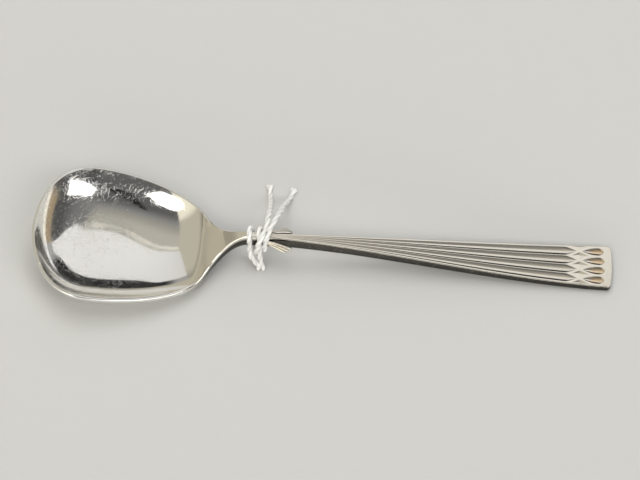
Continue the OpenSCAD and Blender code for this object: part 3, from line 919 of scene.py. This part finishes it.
def rim(upper, reach, lower, power, steps=15):
    """Points over the rim from the hollow's edge to the underside's, and how far down each one is.

    They follow two quarters of a superellipse: the way out is a sine and the way down a cosine, each raised
    to two over the power.
    """
    turn = np.linspace(0, math.pi, steps)[None]
    out = (np.sin(turn) ** (2 / power))[..., None]
    out[:, -1] = 0
    cos = np.cos(turn)
    down = (1 - np.sign(cos) * np.abs(cos) ** (2 / power)) / 2
    edge = np.where(turn[..., None] < math.pi / 2, upper[:, None], lower[:, None])
    points = mix(edge, reach[:, None], out)
    points[..., 2] = mix(upper[:, None, 2], lower[:, None, 2], down)
    return points, down


# Place on the tip's curve where the bowl's sides start, and how far in the underside starts
TIP_CORNER, UNDER_IN = 0.45, 0.2 * MM

# Lengths before and past the bowl's root: where the rim starts to become the neck's sides, and where the
# painted shade on the underside and the rim's sides starts and is full
SLIM_BEFORE, SHADE_BEFORE, SHADE_PAST = 11 * MM, 6 * MM, 3 * MM


class JAMSPOON_OT_bowl(bpy.types.Operator):
    """Makes the bowl with its neck: a hollow, a rounded rim and an underside, joined all round"""
    bl_idname = "jam_spoon.bowl"
    bl_label = "Bowl"

    def execute(self, context):
        spoon = context.scene.jam_spoon
        line = SpoonLine(spoon)
        bowl = spoon.bowl
        spread = bunched(121, -1)
        tip = cubic(line.tip_curve, TIP_CORNER * np.abs(spread))
        walk = np.linspace(0, TIP_CORNER, 200)
        tip_fine = cubic(line.tip_curve, walk)[:-1]
        fine = len(tip_fine)
        side = np.concatenate([
            cubic(line.tip_curve, np.linspace(TIP_CORNER, 1, 48, endpoint=False)),
            cubic(line.side_curve, np.linspace(0, 1, 64, endpoint=False)),
            cubic(line.blend_curve, np.linspace(0, 1, 56, endpoint=False)),
            np.stack([np.linspace(line.neck_s, line.joint_s, 8), np.full(8, bowl.neck_width / 2)], axis=-1)])
        lean = inward(np.concatenate([tip_fine, side]))
        tip_lean = np.stack(
            [np.interp(TIP_CORNER * np.abs(spread), walk, lean[:fine + 1, k]) for k in range(2)], axis=-1)
        slim = ease(side[:, :1], bowl.length - SLIM_BEFORE, line.neck_s)
        top_in = mix(bowl.land, bowl.neck_round, slim)
        under_in = mix(UNDER_IN, bowl.neck_round, slim)
        power = mix(bowl.rim_power, bowl.neck_power, slim)

        def plan(side_shift, tip_shift):
            return bowl_grid(line, tip + tip_shift * tip_lean, side + side_shift * lean[fine:], spread)

        hollow_line = np.concatenate([tip_fine + bowl.land * lean[:fine], side + top_in * lean[fine:]])
        s, y = plan(top_in, bowl.land)
        upper = np.stack([s, y, line.inside(s, y, hollow_line)], axis=-1)
        s, y = plan(under_in, UNDER_IN)
        lower = np.stack([s, y, line.underside(s, y, line.outline)], axis=-1)
        s, y = plan(0, 0)
        reach = np.stack([s, y, 0 * s], axis=-1)
        right, down = rim(upper[:, -1], reach[:, -1], lower[:, -1], power)
        left, _ = rim(upper[:, 0], reach[:, 0], lower[:, 0], power)
        front, _ = rim(upper[0], reach[0], lower[0], np.full((len(spread), 1), bowl.rim_power))
        loop = np.concatenate([upper, right[:, 1:-1], lower[:, ::-1], left[:, -2:0:-1]], axis=1)
        # Painted shade on the rim's sides and the underside near the neck, none on the hollow
        side_shade = ease(down[:, 1:-1], 0.1, 0.3)
        shade_and_tarnish = np.concatenate(
            [0 * upper[..., 0], side_shade, 1 + 0 * lower[..., 0], side_shade[:, ::-1]], axis=1)
        shade_and_tarnish *= ease(side[:, :1], bowl.length - SHADE_BEFORE, bowl.length + SHADE_PAST)
        shade_and_tarnish = np.concatenate([shade_and_tarnish.ravel(), np.zeros(front[..., 0].size)])
        shift = np.array([line.tip_x, 0, 0])
        make_piece("silver_bowl", [(loop + shift, True), (front + shift, False)],
                   polished_silver(spoon.finish), "bowl", (-1,), {"shade_and_tarnish": shade_and_tarnish})
        return {"FINISHED"}


# Handle

def flute_columns(openness, band, outer_share, per_part=9):
    """Places across one flute and their depths, in columns that keep to the ridges as they split and cross.

    Openness is the place of the ridge from the flute's middle, from 0 to 1, and band is half the ridge's
    flat width. Inside it lies the middle hollow and outside it the outer hollows, each a parabola whose
    depth goes with its width, and for the outer ones also with a share.
    """
    t = bunched(per_part + 1)
    inner = np.maximum(openness - band, 0)
    outer = np.minimum(openness + band, 1)
    flat = mix(inner, outer, np.array([1 / 3, 2 / 3]))
    place = np.concatenate([inner * t, flat, mix(outer, 1, t)], axis=1)
    outer_depth = (1 - outer) * (1 - (1 - t) ** 2) * outer_share
    depth = np.concatenate([inner * (1 - t * t), 0 * flat, outer_depth], axis=1)
    place = np.concatenate([-place[:, :0:-1], place], axis=1)
    return place, np.concatenate([depth[:, :0:-1], depth], axis=1)


def flute_relief(line, handle, s):
    """Places across the handle's top and their depths: flutes whose ridges split, cross and close as arches.

    A ridge's place goes with a cosine along the arches, and with a quarter circle at their ends.
    """
    flute_w = (2 * line.stem(s)[0] - 2 * handle.border) / handle.flutes
    deepest = handle.flute_depth * flute_w / np.interp(line.hollow_s, s[:, 0], flute_w[:, 0])
    a = (s - line.fork_s) / handle.arcade
    e = np.clip((s - line.hollow_s) / handle.arch_end, 0, 1)
    arches = np.abs(np.cos(math.pi * np.abs(a) ** handle.cross_power))
    openness = np.where(a < 0, 1, np.where(a < 1, arches, np.sqrt(1 - e * e)))
    widen = ease(s, line.fork_s - handle.band, line.fork_s + 2 * handle.band)
    band = mix(handle.ridge, handle.band / flute_w, widen)
    u, depth = flute_columns(np.clip(openness, 0, 1), band, handle.cross_depth * (s < line.hollow_s))
    depth = np.tile(depth * deepest, handle.flutes)
    centres = np.arange(handle.flutes) - (handle.flutes - 1) / 2
    y = np.concatenate([centre * flute_w + u * flute_w / 2 for centre in centres], axis=1)
    return y, np.sqrt(depth ** 2 + handle.crest ** 2) - handle.crest


# The most that a rounded edge may take of the handle's half width, and the lower edges' share of the stem's
# rounding
EDGE_LIMIT, UNDER_SHARE = 0.45, 0.3

# Painted shade on the walls at the joint, and its share on the points of the rounded top edges from the top
# face down
JOINT_SHADE = 0.95
EDGE_SHADE = np.array([0, 0, 0.2, 0.6, 0.9])

# Distances before the widest place of the last hollows where their blush starts and is full
BLUSH_FROM, BLUSH_FULL = 3.2 * MM, 1 * MM


class JAMSPOON_OT_handle(bpy.types.Operator):
    """Makes the handle: a four-sided bar with flutes that end in an interlaced arcade"""
    bl_idname = "jam_spoon.handle"
    bl_label = "Handle"

    def execute(self, context):
        spoon = context.scene.jam_spoon
        line = SpoonLine(spoon)
        handle = spoon.handle
        end = line.length
        radii = handle.corner, handle.edge, handle.under_edge
        ends = [end - radius * (1 - bunched(9)) for radius in radii]
        s = np.unique(np.concatenate([
            np.linspace(line.joint_s, line.fork_s, 90), np.linspace(line.fork_s, line.hollow_s, 90),
            line.hollow_s + handle.arch_end * bunched(30), *ends]))[:, None]
        y, depth = flute_relief(line, handle, s)
        half, thick = line.stem(s)
        half = half - fall_away(s - end + handle.corner, handle.corner)
        stem_round = mix(handle.stem_round, 0, ease(s, line.joint_s, line.joint_s + handle.stem_blend))
        edge = np.minimum(handle.edge + stem_round, EDGE_LIMIT * half)
        under_edge = np.minimum(handle.under_edge + UNDER_SHARE * stem_round, EDGE_LIMIT * half)
        flat, under_flat = half - edge, half - under_edge
        border = np.linspace(0, 1, 4)[:-1]
        y = np.clip(y, -flat, flat)
        left_border = mix(-flat, y[:, :1], border)
        top_y = np.concatenate([left_border, y, -left_border[:, ::-1]], axis=1)
        depth = np.pad(depth, ((0, 0), (len(border), len(border))))
        top_z = line.top(s) - fall_away(s - end + edge, edge)
        under_z = np.maximum(0, line.top(s) - thick) + fall_away(s - end + under_edge, under_edge)
        quarter = np.linspace(0, math.pi / 2, len(EDGE_SHADE) + 1)
        edge_y = flat + edge * np.sin(quarter)
        edge_z = top_z - edge * (1 - np.cos(quarter))
        low_y = under_flat + under_edge * np.cos(quarter)
        low_z = under_z + under_edge * (1 - np.sin(quarter))
        count = top_y.shape[1]
        under_y = under_flat * np.linspace(1, -1, count)
        loop_y = np.concatenate([top_y, edge_y[:, 1:], low_y[:, :-1], under_y, -low_y[:, -2::-1],
                                 -edge_y[:, :0:-1]], axis=1)
        loop_z = np.concatenate([top_z - depth, edge_z[:, 1:], low_z[:, :-1], under_z + 0 * under_y,
                                 low_z[:, -2::-1], edge_z[:, :0:-1]], axis=1)
        bow = handle.bow * (2 * loop_y / handle.end_width) ** 2 * ease(s, line.fork_s, end)
        loop = np.stack([line.tip_x + s - bow, loop_y, loop_z], axis=-1)
        recess = np.zeros(loop_y.shape)
        recess[:, :count] = depth / handle.flute_depth
        blush = ease(recess, 0, 0.4) * ease(s, line.hollow_s - BLUSH_FROM, line.hollow_s - BLUSH_FULL)
        # Painted shade: the walls, lower edges and underside darkened nearly to black, less towards the top
        # face
        wall = np.zeros(loop_y.shape)
        wall[:, count:] = mix(JOINT_SHADE, 1, ease(s, line.joint_s, line.fork_s))
        wall[:, count:count + len(EDGE_SHADE)] *= EDGE_SHADE
        wall[:, -len(EDGE_SHADE):] *= EDGE_SHADE[::-1]
        make_piece("fluted_handle", [(loop, True)],
                   handled_silver(spoon.finish, "handled_silver", nicked=1, dull=0.06),
                   "handle", (0, -1), {"recess": recess, "wall": wall, "blush": blush})
        return {"FINISHED"}


# Leaf sprays

# Where a lobe starts along its length, the reach of the notches between the lobes, and the thickness of the
# metal, as shares of the settings
LOBE_START, NOTCH, METAL = 0.1, 0.84, 0.7

# Painted shade on the lobes' faces, in the seams between them, and on the backs and edges
FACE_SHADE, SEAM_SHADE, BACK_SHADE = 0.05, 0.85, 0.6


class JAMSPOON_OT_leaves(bpy.types.Operator):
    """Makes the two leaf sprays: round lobes that fan out from one root on each side of the stem"""
    bl_idname = "jam_spoon.leaves"
    bl_label = "Leaf sprays"

    def execute(self, context):
        spoon = context.scene.jam_spoon
        line = SpoonLine(spoon)
        leaf = spoon.leaf
        material = handled_silver(spoon.finish, "leaf_silver", nicked=0.2, dull=0.24)
        rows, columns = 48, 32
        a = mix(LOBE_START, 1, bunched(rows))[:, None]
        step = (1 - np.cos(math.pi * np.arange(columns) / columns)) / 2
        b = (np.arange(leaf.lobes)[:, None] + step[None]).ravel() / leaf.lobes
        b = np.append(b, 1.0)[None]
        lobe = np.sqrt(np.abs(np.sin(math.pi * leaf.lobes * b)))
        reach = a * mix(leaf.long_lobe, leaf.short_lobe, b) * mix(NOTCH, 1, lobe)
        dip = mix(leaf.upper_dip, leaf.lower_dip, b)
        s = line.joint_s + leaf.start + reach * np.cos(dip)
        z = line.top(s) - leaf.drop - leaf.height * b - reach * np.sin(dip)
        nose = np.maximum(0, (a - leaf.full) / (1 - leaf.full))
        blunt = np.sqrt(1 - nose * nose)
        ridge = leaf.bulge * lobe * ease(a, 0, 0.5) * blunt
        thick = METAL * mix(leaf.edge, leaf.shell, blunt)
        stand = leaf.edge + reach * np.tan(mix(leaf.upper_flare, leaf.lower_flare, b))
        back = line.stem(s)[0] + leaf.solder
        inner = np.stack([line.tip_x + s, back + np.maximum(0, stand - thick), z - thick], axis=-1)
        outer = np.stack([line.tip_x + s, back + stand + ridge, z + ridge], axis=-1)
        rims = [np.stack([outer[0], inner[0]]), np.stack([outer[-1], inner[-1]]),
                np.stack([outer[:, 0], inner[:, 0]]), np.stack([outer[:, -1], inner[:, -1]])]
        grids = [outer, inner, *rims]
        # Painted shade: faint on the lobes' faces, strong in the seams between them, and some on the backs
        # and edges
        wall = np.full(sum(g[..., 0].size for g in grids), BACK_SHADE)
        wall[:rows * b.size] = np.tile(mix(FACE_SHADE, SEAM_SHADE, (1 - lobe[0]) ** 2.5), rows)
        values = {"recess": 0 * wall, "wall": wall, "blush": 0 * wall}
        for hand, turn_over in (("left", 1), ("right", -1)):
            flip = np.array([1, turn_over, 1])
            make_piece(f"leaf_spray_{hand}", [(g * flip, False) for g in grids], material,
                       f"leaf_{hand}", (), values)
        return {"FINISHED"}


# Panel and registration

class JAMSPOON_PT_pieces(bpy.types.Panel):
    """Lists the pieces of the spoon"""
    bl_idname = "JAMSPOON_PT_pieces"
    bl_label = "Jam Spoon"
    bl_space_type = "VIEW_3D"
    bl_region_type = "UI"
    bl_category = "Jam Spoon"

    def draw(self, context):
        for operator in OPERATORS:
            self.layout.operator(operator.bl_idname)


OPERATORS = (JAMSPOON_OT_stage, JAMSPOON_OT_tie, JAMSPOON_OT_bowl, JAMSPOON_OT_handle, JAMSPOON_OT_leaves)
GROUPS = (JamSpoonBowl, JamSpoonHandle, JamSpoonLeaf, JamSpoonTie, JamSpoonFinish, JamSpoonStage, JamSpoon)


def register():
    for made in (*GROUPS, *OPERATORS, JAMSPOON_PT_pieces):
        bpy.utils.register_class(made)
    bpy.types.Scene.jam_spoon = bpy.props.PointerProperty(type=JamSpoon)


def unregister():
    del bpy.types.Scene.jam_spoon
    for made in reversed((*GROUPS, *OPERATORS, JAMSPOON_PT_pieces)):
        bpy.utils.unregister_class(made)


def main():
    register()
    bpy.ops.jam_spoon.stage()
    bpy.ops.jam_spoon.tie()
    bpy.ops.jam_spoon.bowl()
    bpy.ops.jam_spoon.handle()
    bpy.ops.jam_spoon.leaves()


if __name__ == "__main__":
    main()
